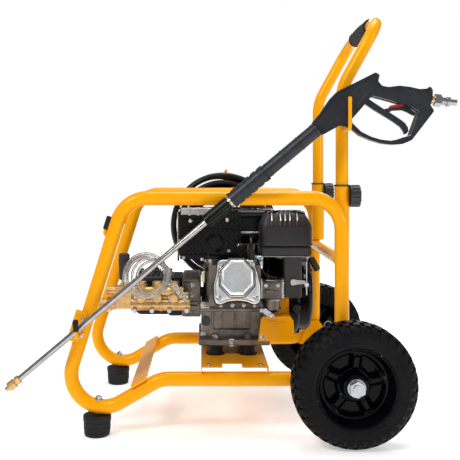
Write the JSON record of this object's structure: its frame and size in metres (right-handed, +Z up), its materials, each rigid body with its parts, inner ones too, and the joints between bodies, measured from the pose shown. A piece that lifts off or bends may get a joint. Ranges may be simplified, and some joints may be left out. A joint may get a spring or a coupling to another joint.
{
  "type": "petrol pressure washer",
  "caption": "Petrol pressure washer: engine, gearbox and triplex pump in a tube frame with wheels, pull handle, trigger gun with lance, and coiled hoses.",
  "frame": {"origin": "on the ground, at the middle of the machine's length and width, without the loose hoses", "axes": "+Z up, +X from the pump end to the wheels and handle, +Y to the side away from the gun"},
  "size_m": [0.9742, 0.672, 0.9435],
  "materials": {
    "frame_paint": "gloss yellow powder coat",
    "black_rubber": "matte rubber",
    "tyre_rubber": "black tyre rubber",
    "rim_black": "gloss black enamel",
    "zinc_steel": "zinc plated",
    "foam_grip": "closed cell foam",
    "black_plastic": "moulded satin plastic",
    "gun_plastic": "moulded satin plastic, blue black",
    "latch_red": "moulded red plastic",
    "engine_black": "black stove enamel",
    "cast_aluminium": "as cast, sand blasted",
    "bright_cover": "bright die casting",
    "pump_black": "black powder coat",
    "brass": "forged brass",
    "bright_steel": "polished stainless steel",
    "machined_steel": "ground steel",
    "hose_rubber": "smooth hose cover",
    "fitting_steel": "plated coupling",
    "clear_tube": "clear PVC"
  },
  "bodies": {
    "frame": {"near_side_loop": "frame_paint", "far_side_loop": "frame_paint", "cross_members": "frame_paint", "engine_base_plate": "frame_paint", "frame_brackets": "frame_paint", "axle": "zinc_steel", "axle_nuts": "zinc_steel", "rubber_feet": "black_rubber", "accessory_hooks": "frame_paint", "engine_mounts": "black_rubber", "crankcase": "cast_aluminium", "cylinder": "cast_aluminium", "rocker_cover": "bright_cover", "muffler": "engine_black", "heat_shield": "engine_black", "fuel_tank": "engine_black", "air_filter_base": "black_plastic", "air_filter_cover": "black_plastic", "carburettor": "cast_aluminium", "fan_cover": "engine_black", "recoil_housing": "engine_black", "spark_plug_lead": "hose_rubber", "gearbox_housing": "cast_aluminium", "pump_crankcase": "pump_black", "pump_head": "brass", "unloader_body": "brass", "hose_coil": "hose_rubber", "hose_fittings": "fitting_steel", "detergent_coil": "clear_tube", "detergent_strainer": "clear_tube"},
    "near_wheel": {"near_tyre": "tyre_rubber", "near_rim": "rim_black"},
    "far_wheel": {"far_tyre": "tyre_rubber", "far_rim": "rim_black"},
    "handle": {"push_handle": "frame_paint", "handle_grip": "foam_grip", "gun_hook": "frame_paint"},
    "near_knob": {"near_handle_knob": "black_plastic"},
    "far_knob": {"far_handle_knob": "black_plastic"},
    "fuel_cap": {"fuel_cap": "black_plastic"},
    "choke_lever": {"choke_lever": "bright_steel"},
    "fuel_lever": {"fuel_lever": "bright_steel"},
    "throttle_lever": {"throttle_lever": "bright_steel"},
    "engine_switch": {"engine_switch": "black_plastic"},
    "oil_plug": {"oil_plug": "black_plastic"},
    "recoil_grip": {"recoil_grip": "black_plastic"},
    "crankshaft": {"crankshaft": "machined_steel"},
    "pump_shaft": {"pump_shaft": "machined_steel"},
    "unloader_knob": {"unloader_knob": "black_plastic"},
    "gun": {"gun_shell_near": "gun_plastic", "gun_shell_far": "gun_plastic", "lance_tube": "bright_steel", "lance_grip": "gun_plastic", "lance": "bright_steel", "spray_nozzle": "brass", "hose_plug": "bright_steel"},
    "nozzle_collar": {"nozzle_collar": "brass"},
    "lance_collar": {"lance_collar": "gun_plastic"},
    "trigger": {"trigger": "gun_plastic"},
    "safety_latch": {"safety_latch": "latch_red"}
  },
  "joints": [
    {"name": "near_wheel_spin", "type": "hinge", "parent": "frame", "child": "near_wheel", "pos_m": [0.25781, -0.286, 0.1325], "axis": [0, 1, 0], "continuous": true},
    {"name": "far_wheel_spin", "type": "hinge", "parent": "frame", "child": "far_wheel", "pos_m": [0.25781, 0.286, 0.1325], "axis": [0, 1, 0], "continuous": true},
    {"name": "handle_slide", "type": "slide", "parent": "frame", "child": "handle", "axis": [0, 0, 1], "range_m": [0, 0.16]},
    {"name": "near_knob_turn", "type": "hinge", "parent": "frame", "child": "near_knob", "pos_m": [0.27281, -0.178, 0.526], "axis": [1, 0, 0], "continuous": true},
    {"name": "far_knob_turn", "type": "hinge", "parent": "frame", "child": "far_knob", "pos_m": [0.27281, 0.178, 0.526], "axis": [1, 0, 0], "continuous": true},
    {"name": "gun_lift", "type": "slide", "parent": "handle", "child": "gun", "axis": [0, 0, 1], "range_m": [0, 0.12]},
    {"name": "trigger_pull", "type": "hinge", "parent": "gun", "child": "trigger", "pos_m": [0.29185, -0.25, 0.732], "axis": [0, -1, 0], "range_deg": [0, 9], "stiffness_Nm_per_rad": 1, "springref_deg": -11.46},
    {"name": "latch_turn", "type": "hinge", "parent": "trigger", "child": "safety_latch", "pos_m": [0.33533, -0.25, 0.70974], "axis": [0, 1, 0], "range_deg": [0, 12]},
    {"name": "lance_collar_spin", "type": "hinge", "parent": "gun", "child": "lance_collar", "pos_m": [-0.02718, -0.25, 0.49302], "axis": [0.766, 0, 0.6428], "continuous": true},
    {"name": "nozzle_collar_slide", "type": "slide", "parent": "gun", "child": "nozzle_collar", "axis": [0.766, 0, 0.6428], "range_m": [0, 0.004], "stiffness_N_per_m": 500, "springref_m": -0.004},
    {"name": "unloader_turn", "type": "hinge", "parent": "frame", "child": "unloader_knob", "pos_m": [-0.24419, -0.108, 0.35], "axis": [0, 0, 1], "range_deg": [-720, 720]},
    {"name": "recoil_pull", "type": "slide", "parent": "frame", "child": "recoil_grip", "axis": [0.92, 0, -0.392], "range_m": [0, 0.5], "stiffness_N_per_m": 20, "springref_m": -0.5},
    {"name": "fuel_cap_turn", "type": "hinge", "parent": "frame", "child": "fuel_cap", "pos_m": [0.06581, 0.05, 0.495], "axis": [0, 0, 1], "range_deg": [0, 90]},
    {"name": "choke_turn", "type": "hinge", "parent": "frame", "child": "choke_lever", "pos_m": [0.15081, -0.119, 0.3235], "axis": [0, -1, 0], "range_deg": [0, 60]},
    {"name": "fuel_tap_turn", "type": "hinge", "parent": "frame", "child": "fuel_lever", "pos_m": [0.09081, -0.121, 0.3], "axis": [0, -1, 0], "range_deg": [0, 90]},
    {"name": "throttle_turn", "type": "hinge", "parent": "frame", "child": "throttle_lever", "pos_m": [0.18281, -0.107, 0.316], "axis": [0, 1, 0], "range_deg": [0, 15]},
    {"name": "engine_switch_turn", "type": "hinge", "parent": "frame", "child": "engine_switch", "pos_m": [0.16281, -0.08, 0.256], "axis": [0, 1, 0], "range_deg": [0, 45]},
    {"name": "oil_plug_turn", "type": "hinge", "parent": "frame", "child": "oil_plug", "pos_m": [-0.05319, -0.09, 0.228], "axis": [0, -1, 0], "range_deg": [0, 720]},
    {"name": "crank_spin", "type": "hinge", "parent": "frame", "child": "crankshaft", "pos_m": [0.01281, 0.03, 0.279], "axis": [1, 0, 0], "continuous": true},
    {"name": "pump_shaft_spin", "type": "hinge", "parent": "frame", "child": "pump_shaft", "pos_m": [-0.15719, -0.021, 0.279], "axis": [1, 0, 0], "continuous": true}
  ],
  "couplings": [
    {"joint": "pump_shaft_spin", "follows": "crank_spin", "ratio": -0.45714}
  ]
}
